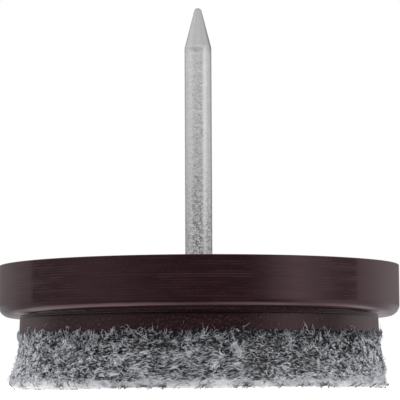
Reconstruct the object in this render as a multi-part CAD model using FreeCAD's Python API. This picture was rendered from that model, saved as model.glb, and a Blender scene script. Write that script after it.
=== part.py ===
import FreeCAD, Part
import os
from math import sin, cos, tan, radians

# Nail-on furniture glide, standing on its felt with the nail pointing up.
# Millimetres, +Z up along the nail, origin at the centre of the felt's underside.

# ---- driving dimensions -------------------------------------------------
FELT_T = 4.1            # thickness of the felt pad, over its lowest fibres
FELT_R_TOP = 13.52      # felt radius where it is glued to the collar
FELT_R_MAX = 14.22      # felt radius at its widest, just above the floor
FELT_EDGE = 0.62        # rounding of the felt's lower edge

COLLAR_H = 1.3          # visible height of the collar under the disc
COLLAR_R_TOP = 13.41    # collar radius under the disc
COLLAR_R_LOW = 13.48    # collar radius at the felt, it widens slightly
COLLAR_NECK = 0.12      # fillet between collar and disc

DISC_R = 15.0           # radius of the moulded disc
DISC_T = 3.8            # thickness of the disc
DISC_TOP_EDGE = 0.08    # small radius of the upper edge
DISC_LOW_EDGE = 0.85    # larger radius of the lower edge

SHANK_R = 1.02          # radius of the bare nail shank
SWELL_R = 1.08          # radius of the shank under its head
HEAD_R = 2.40           # radius of the flat nail head
HEAD_T = 0.80           # thickness of the head
NAIL_L = 24.85          # length of the nail over its head
POINT_HALF = 14.45      # half angle of the conical point, degrees
TIP_R = 0.29            # rounding of the tip
SHOULDER_R = 0.80       # blend between shank and point

# ---- derived heights ----------------------------------------------------
z_glue = FELT_T                     # felt meets collar, and the head lies flush here
z_disc_low = z_glue + COLLAR_H
z_disc_top = z_disc_low + DISC_T
z_head = z_glue + HEAD_T
z_tip = z_glue + NAIL_L

V = FreeCAD.Vector


def pt(r, z):
    return V(r, 0.0, z)


def line(a, b):
    return Part.LineSegment(a, b).toShape()


def arc(a, m, b):
    return Part.Arc(a, m, b).toShape()


def corner(cr, cz, rad, a0, a1):
    """Arc of a radius about a point of the half section, by angles from +r towards +Z."""
    def at(deg):
        return pt(cr + rad * cos(radians(deg)), cz + rad * sin(radians(deg)))
    return at(a0), arc(at(a0), at((a0 + a1) / 2.0), at(a1)), at(a1)


def turned(edges):
    """Solid of revolution about Z of a closed half section."""
    face = Part.Face(Part.Wire(Part.__sortEdges__(edges)))
    solid = face.revolve(V(0, 0, 0), V(0, 0, 1), 360.0)
    return Part.Solid(solid.Shells[0]) if solid.ShapeType != "Solid" else solid


# ---- nail ---------------------------------------------------------------
# The cone of the point, the ball of the tip and the blend at the shoulder are all tangent.
half = radians(POINT_HALF)
z_apex = z_tip + TIP_R / sin(half) - TIP_R           # where the bare cone would end
z_ball = z_tip - TIP_R                               # centre of the tip's ball
r_tan, z_tan = TIP_R * cos(half), z_ball + TIP_R * sin(half)
z_edge = z_apex - SHANK_R / tan(half)                # sharp shoulder, before the blend
z_blend = z_edge - SHOULDER_R * tan(half / 2.0)      # blend starts on the shank
blend_c = (SHANK_R - SHOULDER_R, z_blend)            # centre of the blend arc
s_in, s_arc, s_out = corner(blend_c[0], blend_c[1], SHOULDER_R, 0.0, POINT_HALF)
t_mid = pt(TIP_R * cos(half + (radians(90) - half) / 2), z_ball + TIP_R * sin(half + (radians(90) - half) / 2))

nail = turned([
    line(pt(0, z_glue), pt(HEAD_R, z_glue)),
    line(pt(HEAD_R, z_glue), pt(HEAD_R, z_head)),
    line(pt(HEAD_R, z_head), pt(SWELL_R, z_head)),
    line(pt(SWELL_R, z_head), pt(SHANK_R, z_disc_top)),
    line(pt(SHANK_R, z_disc_top), s_in),
    s_arc,
    line(s_out, pt(r_tan, z_tan)),
    arc(pt(r_tan, z_tan), t_mid, pt(0, z_tip)),
    line(pt(0, z_tip), pt(0, z_glue)),
])

# ---- base moulding: disc, collar, nail hole and seat for the head -------
u_in, u_arc, u_out = corner(DISC_R - DISC_TOP_EDGE, z_disc_top - DISC_TOP_EDGE, DISC_TOP_EDGE, 90.0, 0.0)
l_in, l_arc, l_out = corner(DISC_R - DISC_LOW_EDGE, z_disc_low + DISC_LOW_EDGE, DISC_LOW_EDGE, 0.0, -90.0)
# The neck fillet meets the flat underside of the disc and the slightly widening collar.
lean = (COLLAR_R_LOW - COLLAR_R_TOP) / COLLAR_H
neck_r = COLLAR_R_TOP + COLLAR_NECK
neck_side = pt(COLLAR_R_TOP + lean * COLLAR_NECK, z_disc_low - COLLAR_NECK)
neck_mid = pt(neck_r - COLLAR_NECK * cos(radians(45)), z_disc_low - COLLAR_NECK + COLLAR_NECK * sin(radians(45)))
base = turned([
    line(pt(SHANK_R, z_disc_top), u_in),
    u_arc,
    line(u_out, l_in),
    l_arc,
    line(l_out, pt(neck_r, z_disc_low)),
    arc(pt(neck_r, z_disc_low), neck_mid, neck_side),
    line(neck_side, pt(COLLAR_R_LOW, z_glue)),
    line(pt(COLLAR_R_LOW, z_glue), pt(HEAD_R, z_glue)),
    line(pt(HEAD_R, z_glue), pt(HEAD_R, z_head)),
    line(pt(HEAD_R, z_head), pt(SWELL_R, z_head)),
    line(pt(SWELL_R, z_head), pt(SHANK_R, z_disc_top)),
])

# ---- felt pad -----------------------------------------------------------
# The side is hollow under the collar and spreads towards the floor.
e_in, e_arc, e_out = corner(FELT_R_MAX - FELT_EDGE, FELT_EDGE, FELT_EDGE, -90.0, 0.0)
side = Part.BSplineCurve()
side.interpolate([
    e_out,
    pt(FELT_R_MAX - 0.17, 1.25),
    pt(FELT_R_MAX - 0.38, 1.90),
    pt(FELT_R_TOP + 0.08, 2.65),
    pt(FELT_R_TOP + 0.03, 3.40),
    pt(FELT_R_TOP, FELT_T),
])
felt_pad = turned([
    line(pt(0, 0), e_in),
    e_arc,
    side.toShape(),
    line(pt(FELT_R_TOP, FELT_T), pt(0, FELT_T)),
    line(pt(0, FELT_T), pt(0, 0)),
])

# ---- write one file per piece ------------------------------------------
os.makedirs("parts", exist_ok=True)
for name, shape in (("nail", nail), ("base", base), ("felt_pad", felt_pad)):
    b = shape.BoundBox
    print(name, shape.ShapeType, "valid", shape.isValid(), "mm3", round(shape.Volume, 2),
          "r", round(b.XMax, 3), "z", round(b.ZMin, 3), round(b.ZMax, 3))
    shape.exportStep("parts/" + name + ".step")
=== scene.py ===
from math import radians, pi, sin, cos, tan, sqrt
import bpy
import numpy as np
from mathutils import Matrix, Vector


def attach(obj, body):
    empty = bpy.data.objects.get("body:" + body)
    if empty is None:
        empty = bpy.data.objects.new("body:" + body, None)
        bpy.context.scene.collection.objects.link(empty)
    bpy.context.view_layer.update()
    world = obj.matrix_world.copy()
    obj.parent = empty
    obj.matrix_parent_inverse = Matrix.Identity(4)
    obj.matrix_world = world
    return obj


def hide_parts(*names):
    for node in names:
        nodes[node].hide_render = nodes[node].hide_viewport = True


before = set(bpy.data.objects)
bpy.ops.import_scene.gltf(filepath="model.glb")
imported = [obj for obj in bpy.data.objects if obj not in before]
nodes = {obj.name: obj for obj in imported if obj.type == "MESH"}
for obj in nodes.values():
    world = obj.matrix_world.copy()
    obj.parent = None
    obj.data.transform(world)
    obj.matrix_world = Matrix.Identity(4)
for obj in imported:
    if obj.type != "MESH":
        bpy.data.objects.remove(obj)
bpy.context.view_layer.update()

MM = 0.001
# Heights in this script are measured from the usual lower edge of the felt. The floor, which its lowest fibres touch, is LIFT lower.
LIFT = 0.20
scene = bpy.context.scene

# ---------------------------------------------------------------- helpers

def link(o):
    scene.collection.objects.link(o)
    return o


def mesh_object(name, verts_mm, quads, tris=None, uv=None, sharp=None, shade=None):
    """Object from arrays in millimetres. Faces are quads first, then triangles; uv is per corner in that order, shade is per vertex."""
    tris = np.zeros((0, 3), np.int64) if tris is None else tris
    corners = np.concatenate([quads.reshape(-1), tris.reshape(-1)]).astype(np.int32)
    starts = np.concatenate([np.arange(len(quads)) * 4, len(quads) * 4 + np.arange(len(tris)) * 3]).astype(np.int32)
    me = bpy.data.meshes.new(name)
    me.vertices.add(len(verts_mm))
    me.vertices.foreach_set("co", ((np.asarray(verts_mm) + (0.0, 0.0, LIFT)) * MM).astype(np.float32).ravel())
    me.loops.add(len(corners))
    me.loops.foreach_set("vertex_index", corners)
    me.polygons.add(len(starts))
    me.polygons.foreach_set("loop_start", starts)
    me.polygons.foreach_set("use_smooth", np.ones(len(starts), bool))
    me.update(calc_edges=True)
    me.validate()
    if uv is not None:
        layer = me.uv_layers.new(name="OFBake", do_init=False)
        layer.uv.foreach_set("vector", np.asarray(uv, np.float32).ravel())
    if shade is not None:
        me.attributes.new("shade", "FLOAT", "POINT").data.foreach_set("value", np.asarray(shade, np.float32).ravel())
    if sharp is not None:
        me.set_sharp_from_angle(angle=radians(sharp))
    return link(bpy.data.objects.new(name, me))


def lathe(name, prof, seg, closed, radial=None, sharp=40.0, rise=None):
    """Body of revolution from a half section in mm. radial(theta, r, z) gives a small extra radius at each point, rise a small extra height."""
    prof = np.asarray(prof, float)
    th = np.arange(seg) * (2 * pi / seg)
    T, Rr = np.meshgrid(th, prof[:, 0], indexing="ij")
    Z = np.broadcast_to(prof[:, 1], T.shape)
    if radial is not None:
        Rr = Rr + radial(T, Rr, Z)
    if rise is not None:
        Z = Z + rise(T, Rr, Z)
    n = len(prof)
    V = np.stack([Rr * np.sin(T), -Rr * np.cos(T), Z], -1)
    i = np.arange(seg)[:, None]
    j = np.arange(n if closed else n - 1)[None, :]
    a = i * n + j
    b = ((i + 1) % seg) * n + j
    jn = (j + 1) % n
    c = ((i + 1) % seg) * n + jn
    d = i * n + jn
    quads = np.stack([a, b, c, d], -1).reshape(-1, 4)
    verts = V.reshape(-1, 3)
    tris = None
    nxt = np.roll(prof, -1, 0)
    if np.sum(prof[:, 0] * nxt[:, 1] - nxt[:, 0] * prof[:, 1]) < 0:
        quads = quads[:, ::-1]    # the section runs clockwise: turn the faces outwards
    if not closed:
        # both ends run to the axis: one pole vertex each
        lo, hi = len(verts), len(verts) + 1
        verts = np.concatenate([verts, [[0, 0, prof[0, 1]], [0, 0, prof[-1, 1]]]])
        ii = np.arange(seg)
        nx = (ii + 1) % seg
        tris = np.concatenate([
            np.stack([np.full(seg, lo), nx * n, ii * n], 1),
            np.stack([np.full(seg, hi), ii * n + n - 1, nx * n + n - 1], 1)])
    return mesh_object(name, verts, quads, tris, sharp=sharp)


def waves(rng, count, kth, kz, amp=1.0):
    """A smooth random function of (theta, z mm), periodic in theta, of about unit spread."""
    k = np.round(rng.normal(0, kth, count))
    m = rng.normal(0, kz, count)
    ph = rng.uniform(0, 2 * pi, count)
    a = amp * sqrt(2.0 / count)

    def f(t, z):
        out = np.zeros(np.broadcast(t, z).shape)
        for x, y, p in zip(k, m, ph):
            out += np.sin(x * t + y * z + p)
        return out * a
    return f


def arc_pts(cr, cz, rad, a0, a1, n):
    a = np.radians(np.linspace(a0, a1, n))
    return np.stack([cr + rad * np.cos(a), cz + rad * np.sin(a)], 1)


def seg_pts(p, q, n):
    t = np.linspace(0, 1, n)[:, None]
    return np.asarray(p, float) * (1 - t) + np.asarray(q, float) * t


def chain(*parts):
    out = [parts[0]]
    for p in parts[1:]:
        out.append(p[1:] if np.allclose(p[0], out[-1][-1]) else p)
    return np.concatenate(out)


# ------------------------------------------------------------- node helpers

class Nodes:
    def __init__(self, tree):
        self.t = tree
        tree.nodes.clear()

    def add(self, kind, **sets):
        n = self.t.nodes.new(kind)
        for k, v in sets.items():
            setattr(n, k, v)
        return n

    def to(self, a, b):
        self.t.links.new(a, b)

    def math(self, op, a, b=None, c=None, clamp=False):
        n = self.add("ShaderNodeMath", operation=op, use_clamp=clamp)
        for i, v in enumerate((a, b, c)):
            if v is None:
                continue
            if isinstance(v, (int, float)):
                n.inputs[i].default_value = v
            else:
                self.to(v, n.inputs[i])
        return n.outputs[0]

    def noise(self, vec, scale, detail=4.0, rough=0.55, distort=0.0):
        n = self.add("ShaderNodeTexNoise")
        n.inputs["Scale"].default_value = scale
        n.inputs["Detail"].default_value = detail
        n.inputs["Roughness"].default_value = rough
        n.inputs["Distortion"].default_value = distort
        self.to(vec, n.inputs["Vector"])
        return n.outputs["Fac"]

    def ramp(self, fac, stops, interp="LINEAR"):
        n = self.add("ShaderNodeValToRGB")
        n.color_ramp.interpolation = interp
        e = n.color_ramp.elements
        while len(e) < len(stops):
            e.new(0.5)
        for el, (p, col) in zip(e, stops):
            el.position = p
            el.color = (*col, 1.0) if len(col) == 3 else col
        self.to(fac, n.inputs["Fac"])
        return n.outputs["Color"]

    def span(self, x, lo, hi, a=0.0, b=1.0, smooth=True):
        n = self.add("ShaderNodeMapRange", interpolation_type="SMOOTHSTEP" if smooth else "LINEAR")
        n.inputs["From Min"].default_value = lo
        n.inputs["From Max"].default_value = hi
        n.inputs["To Min"].default_value = a
        n.inputs["To Max"].default_value = b
        self.to(x, n.inputs["Value"])
        return n.outputs["Result"]

    def mix(self, fac, a, b, kind="MIX"):
        n = self.add("ShaderNodeMix", data_type="RGBA", blend_type=kind)
        for v, s in ((fac, n.inputs[0]), (a, n.inputs[6]), (b, n.inputs[7])):
            if isinstance(v, (int, float)):
                s.default_value = v
            elif isinstance(v, tuple):
                s.default_value = (*v, 1.0)
            else:
                self.to(v, s)
        return n.outputs[2]

    def bump(self, height, strength, distance_mm, normal=None):
        n = self.add("ShaderNodeBump")
        n.inputs["Strength"].default_value = strength
        n.inputs["Distance"].default_value = distance_mm * MM
        self.to(height, n.inputs["Height"])
        if normal is not None:
            self.to(normal, n.inputs["Normal"])
        return n.outputs["Normal"]

    def scaled(self, vec, x, y, z):
        n = self.add("ShaderNodeMapping")
        n.inputs["Scale"].default_value = (x, y, z)
        self.to(vec, n.inputs["Vector"])
        return n.outputs["Vector"]


def material(name):
    m = bpy.data.materials.new(name)
    m.use_nodes = True
    g = Nodes(m.node_tree)
    out = g.add("ShaderNodeOutputMaterial")
    b = g.add("ShaderNodeBsdfPrincipled")
    g.to(b.outputs[0], out.inputs["Surface"])
    xyz = g.add("ShaderNodeTexCoord").outputs["Object"]
    s = g.add("ShaderNodeSeparateXYZ")
    g.to(xyz, s.inputs[0])
    zmm = g.math("MULTIPLY_ADD", s.outputs["Z"], 1000.0, -LIFT)
    return m, g, b, xyz, zmm


# ---------------------------------------------------------------- materials

def plastic_material():
    m, g, b, xyz, z = material("brown_plastic_moulded")
    broad = g.noise(xyz, 220.0, 3.0, 0.5)
    # the collar is duller and grainier than the polished disc; its darker base colour is painted shade under the disc
    collar = g.span(z, 5.17, 5.198, 1.0, 0.0)
    col = g.mix(collar, g.ramp(broad, [(0.3, (0.0192, 0.0071, 0.0088)), (0.7, (0.0220, 0.0081, 0.0101))]), (0.0135, 0.0034, 0.0046))
    grain = g.noise(xyz, 5200.0, 3.0, 0.6)
    dusty = g.mix(g.math("MULTIPLY", collar, g.span(grain, 0.50, 0.70, 0.0, 0.50)), g.mix(g.span(grain, 0.42, 0.68, 0.0, 0.30), col, (0.042, 0.017, 0.021)), (0.050, 0.020, 0.025))
    # turning lines run round the side of the disc
    drift = g.noise(g.scaled(xyz, 20.0, 20.0, 1400.0), 1.0, 2.0, 0.6)
    fade = g.noise(g.scaled(xyz, 380.0, 380.0, 2400.0), 1.0, 3.0, 0.62)
    comb = g.math("MULTIPLY_ADD", g.math("SINE", g.math("MULTIPLY_ADD", drift, 12.0, g.math("MULTIPLY", z, 34.0))), 0.5, 0.5)
    lines = g.math("MULTIPLY", comb, g.span(fade, 0.34, 0.62, 0.12, 1.0))
    lines = g.math("MULTIPLY", lines, g.math("MULTIPLY", g.math("SUBTRACT", 1.0, collar), g.span(z, 8.90, 8.96, 1.0, 0.0)))
    g.to(g.mix(g.span(lines, 0.22, 0.92, 0.0, 0.46), dusty, (0.044, 0.018, 0.022)), b.inputs["Base Color"])
    smear = g.noise(xyz, 900.0, 3.0, 0.55)
    r_disc = g.math("ADD", g.span(lines, 0.2, 0.9, 0.0, 0.14), g.span(smear, 0.3, 0.7, 0.05, 0.09))
    r_col = g.span(grain, 0.3, 0.7, 0.09, 0.17)
    rough = g.add("ShaderNodeMix", data_type="FLOAT")
    g.to(collar, rough.inputs[0])
    g.to(r_disc, rough.inputs[2])
    g.to(r_col, rough.inputs[3])
    g.to(rough.outputs[0], b.inputs["Roughness"])
    n1 = g.bump(lines, 0.45, 0.0045)
    n2 = g.bump(g.math("MULTIPLY", grain, g.span(collar, 0.0, 1.0, 0.04, 1.0)), 0.7, 0.023, n1)
    g.to(n2, b.inputs["Normal"])
    b.inputs["IOR"].default_value = 1.50
    b.inputs["Specular Tint"].default_value = (1.0, 0.69, 0.75, 1.0)
    return m


def zinc_material():
    m, g, b, xyz, z = material("zinc_plated_steel")
    # the plating is even on the point, mottled on the shank and scaly towards the base
    worn = g.span(z, 25.0, 10.0, 0.0, 1.0, smooth=False)
    on_shank = g.span(z, 25.3, 25.9, 1.0, 0.0)
    fine = g.noise(g.scaled(xyz, 5600.0, 5600.0, 7000.0), 1.0, 3.0, 0.62)
    ridge = g.noise(g.scaled(xyz, 4600.0, 4600.0, 9600.0), 1.0, 2.0, 0.6)
    clump = g.noise(xyz, 1300.0, 3.0, 0.55, 0.4)
    slant = g.add("ShaderNodeVectorRotate", rotation_type="Y_AXIS")
    slant.inputs["Angle"].default_value = radians(35)
    g.to(xyz, slant.inputs["Vector"])
    scales = g.noise(g.scaled(slant.outputs[0], 4000.0, 4000.0, 9400.0), 1.0, 2.0, 0.55, 0.5)
    # most of it is on the side that faces the front: partly plating marks, partly a painted reflection of the dark
    # front
    s = g.add("ShaderNodeSeparateXYZ")
    g.to(xyz, s.inputs[0])
    az = g.math("ARCTAN2", s.outputs["X"], g.math("MULTIPLY", s.outputs["Y"], -1.0))
    turn = g.math("ABSOLUTE", g.math("ADD", az, 0.06))
    marks_and_reflection_mask = g.math("MAXIMUM", g.span(turn, 0.25, 0.62, 1.0, 0.40), g.span(worn, 0.35, 1.0, 0.40, 0.62))
    # and a smooth stripe runs up it: the marks are thinned where the highlight falls, a painted highlight
    marks_and_reflection_mask = g.math("MAXIMUM", marks_and_reflection_mask, g.math("MULTIPLY", g.math("MULTIPLY", g.span(az, 0.50, 0.60), g.span(az, 1.3, 1.8, 1.0, 0.0)), g.span(worn, 0.45, 0.95, 0.40, 0.76)))
    marks_and_reflection_mask = g.math("MULTIPLY", marks_and_reflection_mask, g.span(g.math("ABSOLUTE", g.math("SUBTRACT", az, 0.46)), 0.02, 0.12, 0.30, 1.0))
    spots = g.math("MULTIPLY", g.span(fine, 0.47, 0.64), g.span(clump, 0.32, 0.58, 0.25, 1.0))
    marks = g.math("MULTIPLY", g.span(scales, 0.48, 0.60), g.span(worn, 0.40, 0.95, 0.0, 1.1))
    dark = g.math("MULTIPLY", g.math("ADD", spots, marks), on_shank, clamp=True)
    dark = g.math("MULTIPLY", g.math("MULTIPLY", dark, marks_and_reflection_mask), g.span(worn, 0.0, 1.0, 0.30, 0.98, smooth=False))
    # painted shade: the point is a darker grey than the shank, standing in for less light from above on its
    # upward-facing cone
    plain_grey_shaded_point = g.mix(on_shank, (0.435, 0.435, 0.435), g.ramp(clump, [(0.3, (0.605, 0.605, 0.605)), (0.7, (0.683, 0.683, 0.683))]))
    smudge = g.math("MULTIPLY", g.math("MULTIPLY", g.span(z, 25.1, 25.4), g.span(z, 25.6, 25.8, 1.0, 0.0)), g.span(clump, 0.42, 0.6, 0.0, 0.35))
    col = g.mix(g.math("MAXIMUM", dark, smudge), plain_grey_shaded_point, (0.25, 0.25, 0.25))
    g.to(col, b.inputs["Base Color"])
    b.inputs["Metallic"].default_value = 1.0
    g.to(g.math("ADD", g.span(fine, 0.3, 0.7, 0.27, 0.34), g.math("MULTIPLY", dark, 0.10)), b.inputs["Roughness"])
    # fine marks across the wire spread its shine up and down
    b.inputs["Anisotropic"].default_value = 0.85
    b.inputs["Anisotropic Rotation"].default_value = 0.25
    n1 = g.bump(g.math("MULTIPLY", ridge, g.math("MULTIPLY", g.span(on_shank, 0.0, 1.0, 0.3, 1.0), g.math("MULTIPLY", g.span(worn, 0.0, 1.0, 0.26, 1.00, smooth=False), marks_and_reflection_mask))), 0.8, 0.028)
    n2 = g.bump(g.math("MULTIPLY", scales, g.math("MULTIPLY", marks_and_reflection_mask, g.span(worn, 0.1, 1.0, 0.0, 1.0))), 0.8, 0.020, n1)
    g.to(n2, b.inputs["Normal"])
    return m


def fibre_material():
    """Matt fibres: each strand has its own shade, which also changes a little along it."""
    m, g, b, xyz, z = material("grey_felt_fibres")
    own = g.add("ShaderNodeAttribute", attribute_type="GEOMETRY", attribute_name="shade").outputs["Fac"]
    n1 = g.noise(xyz, 2600.0, 3.0, 0.6)
    grey_v = g.math("MULTIPLY", own, g.span(n1, 0.3, 0.7, 0.82, 1.16), clamp=True)
    g.to(g.ramp(grey_v, [(0.0, (0.0, 0.0, 0.0)), (1.0, (0.925, 0.941, 1.0))]), b.inputs["Base Color"])
    g.to(g.span(n1, 0.3, 0.7, 0.92, 0.78), b.inputs["Roughness"])
    b.inputs["Specular IOR Level"].default_value = 0.25
    return m


def felt_core_material():
    m, g, b, xyz, z = material("grey_felt_core")
    s = g.add("ShaderNodeSeparateXYZ")
    g.to(xyz, s.inputs[0])
    n1 = g.noise(g.scaled(xyz, 2600.0, 2600.0, 6500.0), 1.0, 3.0, 0.6, 0.5)
    n2 = g.noise(xyz, 600.0, 3.0, 0.6)
    deep = g.ramp(n1, [(0.40, (0.022, 0.0225, 0.024)), (0.60, (0.30, 0.305, 0.315))])
    pale = g.ramp(n1, [(0.36, (0.66, 0.668, 0.68)), (0.64, (0.84, 0.85, 0.86))])
    # painted light from the floor: the core is pale along its lower edge
    low = g.span(g.math("ADD", z, g.math("MULTIPLY", n2, 1.2)), 0.90, 1.20, 1.0, 0.0)
    # painted shade: the core darkens towards the collar, under the disc
    deep = g.mix(g.span(z, 2.9, 3.6, 0.0, 0.65), deep, (0.012, 0.012, 0.013))
    g.to(g.mix(low, deep, pale), b.inputs["Base Color"])
    g.to(g.span(n1, 0.3, 0.7, 0.95, 0.85), b.inputs["Roughness"])
    b.inputs["Specular IOR Level"].default_value = 0.2
    g.to(g.bump(n1, 0.6, 0.05), b.inputs["Normal"])
    return m


# Brightness of the studio by direction, degrees round from the camera: at eye level, and above it.
LOW = [(-180, 0.14), (-170, 0.19), (-160, 0.25), (-150, 0.30), (-132, 0.45), (-110, 0.54), (-107, 0.23), (-88, 0.26), (-60, 0.48), (-45, 0.42), (-29, 0.23), (0, 0.10),
       (27, 0.15), (36, 0.47), (44, 1.00), (54, 1.42), (60, 1.30), (71, 0.85), (81, 0.51), (89, 0.36), (98.5, 0.31), (101.5, 0.76), (117, 0.77), (129, 0.66), (141, 0.48), (153, 0.33), (165, 0.20), (180, 0.13)]
MID = [(-180, 0.35), (-160, 0.55), (-140, 0.95), (-119, 1.30), (-100, 1.55), (-70, 1.85), (-48, 1.85), (-30, 1.80), (0, 2.15), (23, 1.95), (50, 1.20), (70, 1.25), (81, 1.25), (93, 1.20), (107, 1.00), (123, 0.65), (145, 0.35), (180, 0.35)]
TOP = 0.95
# the floor beyond the table
FAR = [(-180, 0.35), (-150, 0.36), (-120, 0.44), (-90, 0.44), (-60, 0.42), (-45, 0.36), (-29, 0.22), (0, 0.10), (27, 0.17), (36, 0.46), (44, 0.84), (54, 1.06), (71, 0.84), (89, 0.66), (103, 0.66), (129, 0.60), (153, 0.38), (180, 0.35)]
# the table's bright edge
STRIP = [(-180, 0.5), (-95, 0.55), (-75, 0.68), (-60, 0.82), (-45, 1.02), (-30, 1.18), (-14, 0.74), (0, 0.30), (15, 0.74), (31, 1.25), (39, 0.95), (47, 0.60), (62, 0.95), (90, 0.95), (180, 0.5)]
# halfway between the two the front is still dark
HALF = [(a, float((np.interp(a, *zip(*LOW)) + np.interp(a, *zip(*MID))) / 2 * (1 - 0.82 * np.exp(-(a / (58.0 if a > 0 else 76.0)) ** 4)))) for a in range(-180, 181, 12)]


WARM = (1.0, 0.91, 0.935)    # the low light behind the part is a little warm


def by_azimuth(g, x, y, table, tint=(1.0, 1.0, 1.0)):
    az = g.math("ARCTAN2", x, g.math("MULTIPLY", y, -1.0))
    turn = g.math("ADD", g.math("DIVIDE", az, 2 * pi), 0.5)
    return g.ramp(turn, [(0.5 + a / 360.0, tuple(v / 2 * c ** (2 if abs(a) > 145 else 1 if abs(a) > 100 else 0) for c in tint)) for a, v in table])


def floor_material():
    """Pale matt floor, seen as overlit white with a faint shadow. Its own light on the part is that of a small pale table top, which ends just in front of the part."""
    m = bpy.data.materials.new("pale_floor")
    m.use_nodes = True
    g = Nodes(m.node_tree)
    out = g.add("ShaderNodeOutputMaterial")
    xyz = g.add("ShaderNodeTexCoord").outputs["Object"]
    s = g.add("ShaderNodeSeparateXYZ")
    g.to(xyz, s.inputs[0])
    far = g.math("SQRT", g.math("ADD", g.math("POWER", s.outputs["X"], 2.0), g.math("POWER", s.outputs["Y"], 2.0)))
    table = g.add("ShaderNodeBsdfDiffuse")
    lp = g.add("ShaderNodeLightPath")
    # painted shade: under and close round the disc the table is darker, and darker still in reflections; beyond it, in
    # reflections only, the table is warm
    g.to(g.mix(lp.outputs["Is Glossy Ray"], g.ramp(far, [(0.0150, (0.22, 0.22, 0.22)), (0.0172, (0.90, 0.90, 0.90))]), g.ramp(far, [(0.0160, (0.05, 0.042, 0.044)), (0.0172, (1.0, 0.86, 0.90))])), table.inputs["Color"])
    # the edge of the table shows as a bright line in the rounding under the disc, a little further out on the right
    rim = g.math("SQRT", g.math("ADD", g.math("POWER", g.math("SUBTRACT", s.outputs["X"], 0.0012), 2.0), g.math("POWER", s.outputs["Y"], 2.0)))
    shine = g.add("ShaderNodeEmission")
    # and it throws soft light on the felt, most on the left
    soft = g.math("ADD", g.math("ADD", 0.34, g.span(s.outputs["X"], -0.008, -0.016, 0.0, 0.56)), g.span(s.outputs["X"], 0.009, 0.016, 0.0, 0.25))
    near = g.math("MULTIPLY", g.math("MULTIPLY", g.span(rim, 0.0166, 0.0180), g.span(rim, 0.0232, 0.0280, 1.0, 0.0)), by_azimuth(g, s.outputs["X"], s.outputs["Y"], STRIP))
    soft = g.math("MULTIPLY", soft, lp.outputs["Is Diffuse Ray"])
    # painted light: the floor glows under the pad and faintly elsewhere, and in reflections close round the part the
    # glow is cut, a painted shade
    g.to(g.math("ADD", g.math("MULTIPLY", g.math("MULTIPLY", near, lp.outputs["Is Glossy Ray"]), g.span(s.outputs["Y"], 0.003, -0.006, 0.0, 3.9)), g.math("ADD", g.math("MULTIPLY", g.span(far, 0.0138, 0.0143, 0.8, 0.12), g.math("SUBTRACT", 1.0, g.math("MULTIPLY", lp.outputs["Is Glossy Ray"], g.span(far, 0.0160, 0.0170, 0.9, 0.0)))), soft)), shine.inputs["Strength"])
    top = g.add("ShaderNodeAddShader")
    g.to(table.outputs[0], top.inputs[0])
    g.to(shine.outputs[0], top.inputs[1])
    front = g.add("ShaderNodeEmission")
    # close to the part it has the warmth of the light behind
    g.to(g.mix(g.span(far, 0.028, 0.042, 1.0, 0.0), by_azimuth(g, s.outputs["X"], s.outputs["Y"], FAR), by_azimuth(g, s.outputs["X"], s.outputs["Y"], FAR, WARM)), front.inputs["Color"])
    front.inputs["Strength"].default_value = 2.0
    lit = g.add("ShaderNodeMixShader")
    g.to(g.math("MAXIMUM", g.span(s.outputs["Y"], -0.0205, -0.0218), g.span(far, 0.0175, 0.0250)), lit.inputs[0])
    g.to(top.outputs[0], lit.inputs[1])
    g.to(front.outputs[0], lit.inputs[2])
    seen = g.add("ShaderNodeBsdfDiffuse")
    n1 = g.noise(xyz, 40.0, 2.0, 0.5)
    g.to(g.ramp(n1, [(0.3, (0.59, 0.59, 0.59)), (0.7, (0.61, 0.61, 0.61))]), seen.inputs["Color"])
    glow = g.add("ShaderNodeEmission")
    glow.inputs["Color"].default_value = (1.0, 1.0, 1.0, 1.0)
    glow.inputs["Strength"].default_value = 0.84
    both = g.add("ShaderNodeAddShader")
    g.to(seen.outputs[0], both.inputs[0])
    g.to(glow.outputs[0], both.inputs[1])
    pick = g.add("ShaderNodeMixShader")
    g.to(lp.outputs["Is Camera Ray"], pick.inputs[0])
    g.to(lit.outputs[0], pick.inputs[1])
    g.to(both.outputs[0], pick.inputs[2])
    g.to(pick.outputs[0], out.inputs["Surface"])
    return m


# --------------------------------------------------------------------- base

z_glue, z_low, z_top = 3.9, 5.2, 9.0
rng = np.random.default_rng(7)

top_r, low_r = 0.04, 0.85
side_z = np.linspace(z_top - top_r, z_low + low_r, 92)
collar_u = np.linspace(0.05, 1.0, 16)
prof_base = chain(
    seg_pts((1.02, z_top), (15.0 - top_r, z_top), 22),
    arc_pts(15.0 - top_r, z_top - top_r, top_r, 90, 0, 6),
    np.stack([np.full(92, 15.0), side_z], 1),
    arc_pts(15.0 - low_r, z_low + low_r, low_r, 0, -90, 17),
    seg_pts((15.0 - low_r, z_low), (13.45, z_low), 3),
    np.array([(13.425, z_low - 0.008), (13.412, z_low - 0.03)]),
    np.stack([13.42 + 0.05 * collar_u, z_low - (z_low - z_glue) * collar_u], 1),
    seg_pts((13.48, z_glue), (2.4, z_glue), 7),
    seg_pts((2.4, z_glue), (2.4, z_glue + 0.8), 2),
    seg_pts((2.4, z_glue + 0.8), (1.08, z_glue + 0.8), 3),
    seg_pts((1.08, z_glue + 0.8), (1.02, z_top), 5),
)[:-1]

ring_k = rng.uniform(2 * pi / 0.26, 2 * pi / 0.13, 14)
ring_p = rng.uniform(0, 2 * pi, 14)
collar_noise = waves(rng, 40, 160.0, 9.0)
line_fade = waves(np.random.default_rng(71), 24, 6.0, 3.0)


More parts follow.
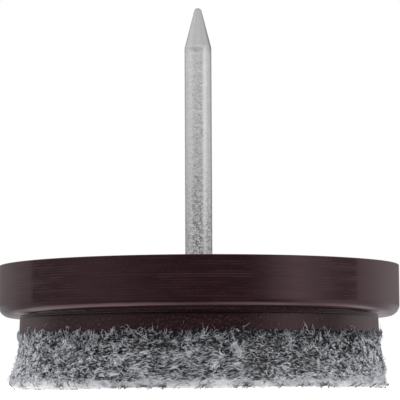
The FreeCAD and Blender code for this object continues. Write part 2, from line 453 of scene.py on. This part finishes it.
def base_relief(t, r, z):
    """Fine turning lines left by the mould on the side, and a slightly uneven collar."""
    side = (r > 14.99) * np.clip((z - z_low - low_r) / 0.1, 0, 1) * np.clip((z_top - top_r - z) / 0.1, 0, 1)
    lines = sum(np.sin(k * z + p) for k, p in zip(ring_k, ring_p)) / 3.7
    col = (z < z_low - 0.1) & (r > 13.36) & (z > z_glue + 0.05)
    return side * 0.0013 * lines * np.clip(0.9 + 0.35 * line_fade(t, z), 0.2, 1.6) + np.where(col, 0.0012 * collar_noise(t, z), 0.0)


base = lathe("base_moulding", prof_base, 256, True, base_relief, sharp=35)
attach(base, "root")
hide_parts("base")
base.data.materials.append(plastic_material())

# --------------------------------------------------------------------- nail

half = radians(14.45)
z_tip, tip_r, shank_r, sh_r = 28.75, 0.29, 1.02, 0.80
z_apex = z_tip + tip_r / sin(half) - tip_r
z_ball = z_tip - tip_r
z_edge = z_apex - shank_r / tan(half)
z_blend = z_edge - sh_r * tan(half / 2)
blend = arc_pts(shank_r - sh_r, z_blend, sh_r, 0, 14.45, 8)
cone = seg_pts(blend[-1], (tip_r * cos(half), z_ball + tip_r * sin(half)), 44)
ball = arc_pts(0, z_ball, tip_r, 14.45, 88, 10)
prof_nail = chain(
    np.array([(0.6, z_glue), (1.5, z_glue), (2.4, z_glue), (2.4, z_glue + 0.4), (2.4, z_glue + 0.8), (1.6, z_glue + 0.8), (1.08, z_glue + 0.8)]),
    seg_pts((1.08, z_glue + 0.8), (1.02, z_top), 6),
    seg_pts((1.02, z_top), (shank_r, z_blend), 250),
    blend, cone, ball,
)
dents = waves(rng, 60, 4.0, 16.0)
draws = waves(rng, 20, 14.0, 0.5)


def nail_relief(t, r, z):
    """Shallow dimples of the plating and long drawing marks; none inside the base and little on the point."""
    live = np.clip((z - z_top - 0.02) / 0.1, 0, 1) * np.where(z > z_blend, np.clip((z_tip - 0.5 - z) / 3.0, 0, 0.5), 1.0)
    return live * (0.0011 * dents(t, z) + 0.0006 * draws(t, z))


nail = lathe("nail_zinc", prof_nail, 96, False, nail_relief, sharp=35)
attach(nail, "root")
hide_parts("nail")
nail.data.materials.append(zinc_material())

# --------------------------------------------------------------------- felt

FELT_Z = np.array([0.00, 0.04, 0.10, 0.18, 0.28, 0.40, 0.55, 0.80, 1.05, 1.40, 1.70, 2.10, 2.45, 2.90, 3.30, 3.90, 4.05, 5.20])
FELT_R = np.array([13.80, 13.93, 14.03, 14.11, 14.17, 14.20, 14.20, 14.13, 14.05, 13.93, 13.82, 13.68, 13.58, 13.52, 13.51, 13.51, 13.51, 13.46])


def felt_r(z):
    """Radius of the felt's outer fibres at a height, carried on up the collar."""
    return np.interp(z, FELT_Z, FELT_R)


clump_a = waves(rng, 36, 26.0, 2.2)
clump_b = waves(rng, 48, 60.0, 5.0)
clump_c = waves(np.random.default_rng(72), 60, 150.0, 11.0)
lumps = waves(rng, 70, 150.0, 12.0)
edge_wob = waves(rng, 24, 14.0, 0.0)
edge_b = waves(rng, 24, 30.0, 0.0)
band_w = waves(rng, 24, 9.0, 0.0)


# the lower edge hangs at both sides: degrees round from the front, and height
HANG = [(-180, -0.06), (-120, -0.08), (-80, -0.12), (-64, -0.16), (-50, -0.19), (-38, -0.12), (-20, -0.04), (-10, -0.06), (8, -0.03), (18, 0.02), (30, 0.01), (45, -0.06), (55, -0.04), (68, -0.13), (88, -0.18), (110, -0.12), (150, -0.02), (180, -0.06)]


def lower_edge(t):
    """Height of the felt's uneven lower edge."""
    a = np.degrees((np.asarray(t) + pi) % (2 * pi) - pi)
    return np.clip(np.interp(a, *zip(*HANG)) + 0.020 * band_w(t, 1.0) + 0.030 * edge_b(t, 1.0), 0.02 - LIFT, 0.10)


def lit_band_h(t):
    """Height of the pale band round the lower edge: painted light from the floor."""
    return np.clip(0.40 + 0.30 * band_w(t, 0.0) + 0.20 * edge_b(t, 0.0), 0.0, 1.10)



def dent(t, z):
    """A tuft is missing low on the right."""
    d = (np.asarray(t) - radians(86) + pi) % (2 * pi) - pi
    return -np.exp(-(d / radians(11)) ** 2) * np.interp(z, [0.0, 0.14, 0.34, 0.6, 0.9, 1.15, 1.4], [0.0, 0.0, 0.31, 0.36, 0.28, 0.06, 0.0])


core_z = np.concatenate([np.array([0.06, 0.10, 0.16, 0.23, 0.32]), np.linspace(0.42, 3.9, 50)])
# the core lies well inside the fibres on the side, and close under them along the pale lower edge
core_sink = np.interp(core_z, [0.1, 0.45, 0.75, 3.9], [0.06, 0.08, 0.22, 0.22])
core_side = np.stack([felt_r(core_z) - core_sink, core_z], 1)
core_under = seg_pts((0.25, 0.08), (core_side[0, 0] - 0.1, 0.075), 14)
core_over = seg_pts((core_side[-1, 0] - 0.05, 3.9), (0.25, 3.9), 8)
prof_core = np.concatenate([core_under, core_side, core_over])


def core_relief(t, r, z):
    side = (r > 13.1) & (z > 0.07) & (z < 3.85)
    return np.where(side, np.interp(z, [0.1, 0.4, 0.8], [0.012, 0.025, 0.06]) * (lumps(t, z) + 0.5 * clump_b(t, z)) + dent(t, z), 0.0)


def core_rise(t, r, z):
    return np.where(r > 13.0, np.interp(z, [0.1, 0.5], [1.0, 0.0]) * lower_edge(t), 0.0)


core = lathe("felt_core", prof_core, 480, False, core_relief, sharp=None, rise=core_rise)
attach(core, "root")
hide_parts("felt_pad")
core.data.materials.append(felt_core_material())

felt_mat = fibre_material()


def tubes(name, *sets):
    """Closed three-sided strands in one piece. Each set is paths (n, k, 3) in mm, radii (n, k) and shades (n, k). Each strand has its own cell of the map."""
    verts, quads, tris, uvq, uvt, shades = [], [], [], [], [], []
    total = sum(len(P) for P, _, _ in sets)
    grid = int(np.ceil(np.sqrt(total)))
    cell = 1.0 / grid
    first_v, first_i = 0, 0
    for P, rad, shade in sets:
        n, k, _ = P.shape
        T = np.gradient(P, axis=1)
        T /= np.linalg.norm(T, axis=2, keepdims=True) + 1e-12
        out = P.copy()
        out[..., 2] = 0.3
        out /= np.linalg.norm(out, axis=2, keepdims=True) + 1e-12
        A = np.cross(T, out)
        A /= np.linalg.norm(A, axis=2, keepdims=True) + 1e-9
        B = np.cross(T, A)
        ph = np.arange(3) * (2 * pi / 3)
        ring = A[:, :, None, :] * np.cos(ph)[None, None, :, None] + B[:, :, None, :] * np.sin(ph)[None, None, :, None]
        V = P[:, :, None, :] + rad[:, :, None, None] * ring
        V[..., 2] = np.maximum(V[..., 2], 0.002 - LIFT)
        verts.append(V.reshape(-1, 3))
        shades.append(np.repeat(shade.reshape(-1), 3))
        base_i = first_v + (np.arange(n) * k * 3)[:, None, None]
        j = np.arange(k - 1)[None, :, None]
        s = np.arange(3)[None, None, :]
        s2 = (s + 1) % 3
        a = base_i + j * 3 + s
        b = base_i + (j + 1) * 3 + s
        c = base_i + (j + 1) * 3 + s2
        d = base_i + j * 3 + s2
        quads.append(np.stack([a, d, c, b], -1).reshape(-1, 4))
        bi = first_v + (np.arange(n) * k * 3)[:, None]
        tris.append(np.concatenate([bi + np.array([0, 2, 1])[None, :], bi + (k - 1) * 3 + np.array([0, 1, 2])[None, :]]))
        idx = first_i + np.arange(n)
        cu, cv = (idx % grid) * cell, (idx // grid) * cell
        u = 0.12 + 0.76 * np.arange(k) / (k - 1)
        v = 0.08 + 0.84 * np.arange(4) / 3
        uq = np.zeros((n, k - 1, 3, 4, 2))
        for q, (dj, ds) in enumerate(((0, 0), (0, 1), (1, 1), (1, 0))):
            uq[:, :, :, q, 0] = cu[:, None, None] + cell * u[dj:dj + k - 1][None, :, None]
            uq[:, :, :, q, 1] = cv[:, None, None] + cell * v[ds:ds + 3][None, None, :]
        ut = np.zeros((2, n, 3, 2))
        for e, x0 in ((0, 0.02), (1, 0.90)):
            for q, (du, dv) in enumerate(((0.0, 0.1), (0.08, 0.5), (0.0, 0.9))):
                ut[e, :, q, 0] = cu + cell * (x0 + du)
                ut[e, :, q, 1] = cv + cell * dv
        uvq.append(uq.reshape(-1, 2))
        uvt.append(ut.reshape(-1, 2))
        first_v += n * k * 3
        first_i += n
    o = mesh_object(name, np.concatenate(verts), np.concatenate(quads), np.concatenate(tris), uv=np.concatenate(uvq + uvt), shade=np.concatenate(shades))
    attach(o, "root")
    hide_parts("felt_pad")
    o.data.materials.append(felt_mat)
    return o


def side_paths(g, th0, z0, ang, length, h0, lift, curl, wig, k=6, zmax=5.1, zmin=0.02 - LIFT, loose=False):
    """Strands that lie on the felt's side: start angle and height, direction (0 level, 90 up), length, depth, mid lift, curl and wiggle."""
    n = len(th0)
    s = np.linspace(0, 1, k)[None, :]
    w1 = g.uniform(0, 2 * pi, (n, 1))
    f1 = g.uniform(0.6, 1.6, (n, 1))
    a = ang[:, None] + curl[:, None] * (s - 0.5) + wig[:, None] * np.sin(2 * pi * f1 * s + w1)
    step = (length / (k - 1))[:, None]
    dz = np.concatenate([np.zeros((n, 1)), np.cumsum(np.sin(a[:, :-1]) * step, 1)], 1)
    dx = np.concatenate([np.zeros((n, 1)), np.cumsum(np.cos(a[:, :-1]) * step, 1)], 1)
    # centre the strand on its start point
    z = z0[:, None] + dz - 0.5 * dz[:, -1:]
    th = th0[:, None] + (dx - 0.5 * dx[:, -1:]) / 14.0
    if loose:
        z = z + np.maximum(zmin + 0.01 - z.min(1, keepdims=True), 0)
    z = np.clip(z, zmin if loose else np.maximum(zmin, lower_edge(th) + 0.03), zmax)
    h = h0[:, None] + lift[:, None] * np.sin(pi * s) + 0.015 * np.sin(2 * pi * g.uniform(0.7, 1.5, (n, 1)) * s + g.uniform(0, 6.28, (n, 1)))
    r = felt_r(z) + h + 0.03 * edge_wob(th, z) + dent(th, z)
    # nothing sinks into the collar
    r = np.where(z > 3.85, np.maximum(r, 13.52), r)
    return np.stack([r * np.sin(th), -r * np.cos(th), z], -1)


def taper(k, r, tip=0.45):
    s = np.linspace(0, 1, k)[None, :]
    shape = tip + (1 - tip) * np.sqrt(np.clip(1 - np.abs(2 * s - 1) ** 3, 0, 1))
    return r[:, None] * shape


def scatter(g, n, z_lo, z_hi, weight=None):
    """Random places on the side, denser where weight(theta, z) is high."""
    got_t, got_z = [], []
    while sum(map(len, got_t)) < n:
        t = g.uniform(0, 2 * pi, n)
        z = g.uniform(z_lo, z_hi, n)
        if weight is not None:
            keep = g.uniform(0, 1, n) < weight(t, z)
            t, z = t[keep], z[keep]
        got_t.append(t)
        got_z.append(z)
    return np.concatenate(got_t)[:n], np.concatenate(got_z)[:n]


def lean(g, z, level=0.6):
    """Directions: more level low down, more upright near the collar."""
    n = len(z)
    up = np.clip((z - 2.4) / 1.5, 0, 1)
    flat = g.uniform(0, 1, n) < level * (1 - 0.5 * up)
    a = np.where(flat, g.normal(0, radians(17), n), g.uniform(-pi / 2, pi / 2, n))
    steep = g.uniform(0, 1, n) < 0.25 * up
    return np.where(steep, g.normal(pi / 2, radians(30), n), a)


def shade_under_disc(z):
    """Painted shade: the felt is a little darker towards the collar, under the disc."""
    return 1.0 - 0.34 * np.clip((z - 2.6) / 1.2, 0, 1)


def body(seed, n, z_lo, z_hi, depth, lift, width, long, shade, weight=None, level=0.6, curl=0.8, k=6, with_painted_light=True):
    g = np.random.default_rng(seed)
    t, z = scatter(g, n, z_lo, z_hi, weight)
    P = side_paths(g, t, z, lean(g, z, level), g.uniform(*long, n), g.uniform(*depth, n), g.uniform(*lift, n),
                   g.normal(0, curl, n), g.uniform(0.05, 0.40, n), k=k)
    # painted shade towards the collar and painted side light on the sides
    sh = np.minimum(g.uniform(*shade, n) * (shade_under_disc(z) * (1 + 0.80 * side_light(t)) if with_painted_light else 1.0), 1.0)
    return P, taper(k, g.uniform(*width, n)), np.repeat(sh[:, None], k, 1)


def tufts(seed, n, per, shade, k=5):
    """Small bundles of strands that lie the same way."""
    g = np.random.default_rng(seed)
    t0, z0 = scatter(g, n, 0.35, 3.75, more_light)
    ang0 = lean(g, z0, 0.55)
    # painted shade towards the collar and painted side light on the sides
    own = np.minimum(g.uniform(*shade, n) * shade_under_disc(z0) * (1 + 0.45 * side_light(t0)), 0.95)
    t = np.repeat(t0, per) + g.normal(0, 0.11, n * per) / 14.0
    z = np.repeat(z0, per) + g.normal(0, 0.09, n * per)
    m = n * per
    P = side_paths(g, t, np.clip(z, 0.1, 3.9), np.repeat(ang0, per) + g.normal(0, radians(16), m), g.uniform(0.25, 0.65, m), g.uniform(-0.11, -0.02, m),
                   g.uniform(0, 0.05, m), np.repeat(g.normal(0, 0.7, n), per), g.uniform(0.05, 0.25, m), k=k)
    return P, taper(k, g.uniform(0.018, 0.028, m)), np.repeat((np.repeat(own, per) * g.uniform(0.85, 1.1, m))[:, None], k, 1)


def more_light(t, z):
    return np.clip(0.60 + 0.08 * clump_a(t, z) + 0.09 * clump_b(t, z) + 0.22 * clump_c(t, z), 0.08, 1.0)


def side_light(t):
    """1 at the pad's left side, less at its right one: painted side light, with paler strands and fewer dark fibres
    there.
    """
    d = lambda a: (np.asarray(t) - radians(a) + pi) % (2 * pi) - pi
    return np.exp(-(d(-74) / radians(26)) ** 2) + 0.6 * np.exp(-(d(74) / radians(22)) ** 2)


def dark_fibres_and_shade(t, z):
    # painted shade: dark strands grow denser towards the collar, under the disc, and sparser in the pale lower band and
    # on the lit sides
    high = (1 - 0.78 * side_light(t)) * (0.36 + 0.64 * np.clip((z - lit_band_h(t) + 0.1) / 0.25, 0, 1)) * np.interp(z, [0.05, 0.3, 0.6, 1.2, 2.4, 3.2, 3.9], [0.10, 0.15, 0.23, 0.40, 0.50, 1.05, 1.75])
    return np.clip(high * (0.70 - 0.13 * clump_a(t, z) - 0.15 * clump_b(t, z) - 0.34 * clump_c(t, z)), 0.03, 1.0)


# under layer, two layers of light strands and bundles, and short dark strands between them
tubes("felt_fibres_under", body(11, 3200, 0.45, 3.88, (-0.22, -0.13), (0.0, 0.05), (0.022, 0.034), (0.3, 0.8), (0.14, 0.38), None, 0.65, k=5))
tubes("felt_fibres_light", body(12, 7800, 0.30, 3.88, (-0.17, -0.05), (0.0, 0.05), (0.015, 0.024), (0.16, 0.46), (0.54, 1.00), more_light, 0.8, 0.8, k=4))
tubes("felt_fibres_pale", body(13, 3300, 0.25, 3.85, (-0.10, -0.01), (0.0, 0.06), (0.016, 0.026), (0.18, 0.58), (0.76, 1.00), more_light, 0.75, 0.8, k=5), tufts(21, 380, 7, (0.70, 1.00)))
tubes("felt_fibres_dark", body(16, 9000, 0.05, 3.92, (-0.11, 0.0), (0.0, 0.04), (0.017, 0.029), (0.12, 0.34), (0.006, 0.026), dark_fibres_and_shade, 0.75, 0.6, k=4, with_painted_light=False))


def stray_top(seed, n, shade, reach):
    """Loose ends that stand up over the collar."""
    g = np.random.default_rng(seed)
    t, z = scatter(g, n, 3.56, 3.94)
    z = z + 0.17 * edge_b(t, z) + 0.10 * clump_b(t, z)
    ang = g.normal(pi / 2, radians(62), n)
    P = side_paths(g, t, z, ang, g.uniform(*reach, n), g.uniform(0.0, 0.08, n), g.uniform(0.0, 0.10, n), g.normal(0, 1.5, n), g.uniform(0.1, 0.5, n), k=6)
    return P, taper(6, g.uniform(0.009, 0.015, n), 0.35), np.repeat(g.uniform(*shade, n)[:, None], 6, 1)


def stray_out(seed, n, shade):
    """Loose loops that stand out from the side."""
    g = np.random.default_rng(seed)
    t, z = scatter(g, n, 0.2, 3.8)
    P = side_paths(g, t, z, g.uniform(-pi, pi, n), g.uniform(0.4, 1.1, n), g.uniform(-0.12, -0.04, n), g.uniform(0.08, 0.30, n), g.normal(0, 1.8, n), g.uniform(0.2, 0.7, n), k=8)
    return P, taper(8, g.uniform(0.011, 0.018, n), 0.35), np.repeat(g.uniform(*shade, n)[:, None], 8, 1)


def stray_low(seed, n):
    """Short dark ends at the lower edge that reach the floor."""
    g = np.random.default_rng(seed)
    t, z = scatter(g, n, -0.07, 0.15, lambda a, h: np.clip(0.45 + 0.40 * edge_b(a, 3.0), 0.04, 1.0) * np.clip(np.abs(np.cos(a)), 0.15, 1.0))
    z = z + lower_edge(t)
    ang = g.choice([-1.0, 1.0], n) * g.uniform(radians(12), radians(75), n)
    P = side_paths(g, t, z, ang, g.uniform(0.25, 0.8, n), g.uniform(-0.02, 0.09, n), g.uniform(0.0, 0.08, n), g.normal(0, 1.1, n), g.uniform(0.1, 0.5, n), k=8, loose=True)
    return P, taper(8, g.uniform(0.013, 0.021, n), 0.35), np.repeat(g.uniform(0.012, 0.07, n)[:, None], 8, 1)


def lint(seed, n):
    """Specks of fibre that cling to the collar."""
    g = np.random.default_rng(seed)
    t, z = scatter(g, n, 4.0, 4.8)
    P = side_paths(g, t, z, g.uniform(-pi, pi, n), g.uniform(0.10, 0.35, n), g.uniform(0.03, 0.05, n), g.uniform(0.0, 0.02, n), g.normal(0, 1.0, n), g.uniform(0.1, 0.5, n), k=8)
    return P, taper(8, g.uniform(0.009, 0.014, n), 0.4), np.repeat(g.uniform(0.25, 0.55, n)[:, None], 8, 1)


tubes("felt_fibres_loose", stray_top(14, 720, (0.45, 1.00), (0.16, 0.50)), stray_top(24, 520, (0.012, 0.05), (0.16, 0.46)), stray_top(34, 130, (0.45, 0.90), (0.45, 1.05)), stray_out(15, 190, (0.30, 0.65)), stray_out(25, 80, (0.02, 0.10)), stray_low(17, 340), lint(22, 34))


def in_band(t, z):
    return np.clip((lit_band_h(t) - z) / 0.35 + 0.5, 0.0, 1.0)


def under_strands(seed, n):
    """Strands on the pad's underside."""
    g = np.random.default_rng(seed)
    k = 8
    rr = 13.2 * np.sqrt(g.uniform(0, 1, n))
    tt = g.uniform(0, 2 * pi, n)
    s = np.linspace(0, 1, k)[None, :]
    a = g.uniform(0, 2 * pi, (n, 1)) + g.normal(0, 1.4, (n, 1)) * (s - 0.5) + 0.4 * np.sin(2 * pi * g.uniform(0.6, 1.6, (n, 1)) * s + g.uniform(0, 6.28, (n, 1)))
    step = g.uniform(0.9, 2.6, (n, 1)) / (k - 1)
    x = (rr * np.sin(tt))[:, None] + np.cumsum(np.cos(a) * step, 1)
    y = (-rr * np.cos(tt))[:, None] + np.cumsum(np.sin(a) * step, 1)
    q = np.hypot(x, y)
    f = np.where(q > 13.4, 13.4 / q, 1.0)
    z = g.uniform(0.065, 0.09, (n, 1)) - 0.02 * np.sin(pi * s)
    return np.stack([x * f, y * f, np.broadcast_to(z, x.shape)], -1), taper(k, g.uniform(0.022, 0.036, n)), np.repeat(g.uniform(0.45, 0.90, n)[:, None], k, 1)


# painted light from the floor: pale strands fill the lower band, and no painted shade dims them
tubes("felt_fibres_low", body(18, 2900, -0.17, 0.95, (-0.06, -0.01), (0.0, 0.03), (0.018, 0.032), (0.22, 0.7), (0.54, 1.00), in_band, 0.80, 0.7, k=5, with_painted_light=False), under_strands(19, 900))

# -------------------------------------------------------------------- stage

fm = bpy.data.meshes.new("floor")
S = 1.2
fm.from_pydata([(-S, -S, 0), (S, -S, 0), (S, S, 0), (-S, S, 0)], [], [(0, 1, 2, 3)])
floor = link(bpy.data.objects.new("floor", fm))
fm.materials.append(floor_material())

# Studio light: a pale tent all round with a brighter panel to the right of the camera, darker behind, and a dark gap at the camera.
world = bpy.data.worlds.new("studio")
scene.world = world
world.use_nodes = True
g = Nodes(world.node_tree)
wout = g.add("ShaderNodeOutputWorld")
bg = g.add("ShaderNodeBackground")
g.to(bg.outputs[0], wout.inputs["Surface"])
d = g.add("ShaderNodeTexCoord").outputs["Generated"]
sx = g.add("ShaderNodeSeparateXYZ")
g.to(d, sx.inputs[0])
around = by_azimuth(g, sx.outputs["X"], sx.outputs["Y"], LOW, WARM)
higher = by_azimuth(g, sx.outputs["X"], sx.outputs["Y"], MID)
between = by_azimuth(g, sx.outputs["X"], sx.outputs["Y"], HALF)
ring = g.mix(g.span(sx.outputs["Z"], 0.168, 0.29, smooth=False), g.mix(g.span(sx.outputs["Z"], 0.046, 0.168, smooth=False), around, between), higher)
sky = g.mix(g.span(sx.outputs["Z"], 0.42, 0.62), ring, (TOP / 2, TOP / 2, TOP / 2))
lp = g.add("ShaderNodeLightPath")
shown = g.mix(lp.outputs["Is Camera Ray"], sky, (0.5, 0.5, 0.5))
g.to(shown, bg.inputs["Color"])
bg.inputs["Strength"].default_value = 2.0

# ------------------------------------------------------------------- camera

cam_d = bpy.data.cameras.new("camera")
cam = link(bpy.data.objects.new("camera", cam_d))
F_PX, DIST, EYE, PITCH, ROLL, SIDE = 1966.0, 148.0, 0.4, radians(5.272), radians(0.25), 0.105
cam_d.sensor_width = 36.0
cam_d.sensor_fit = "HORIZONTAL"
cam_d.lens = F_PX * 36.0 / 400.0
cam_d.clip_start, cam_d.clip_end = 0.01, 20.0
fwd = Vector((0, cos(PITCH), sin(PITCH)))
right0, up0 = Vector((1, 0, 0)), Vector((0, -sin(PITCH), cos(PITCH)))
right = right0 * cos(ROLL) - up0 * sin(ROLL)
up = right0 * sin(ROLL) + up0 * cos(ROLL)
M = Matrix((right, up, -fwd)).transposed().to_4x4()
M.translation = Vector((SIDE * MM, -DIST * MM, (EYE + LIFT) * MM))
cam.matrix_world = M
scene.camera = cam

scene.view_settings.view_transform = "Standard"
scene.view_settings.look = "None"
scene.view_settings.exposure = 0.0
scene.view_settings.gamma = 1.0
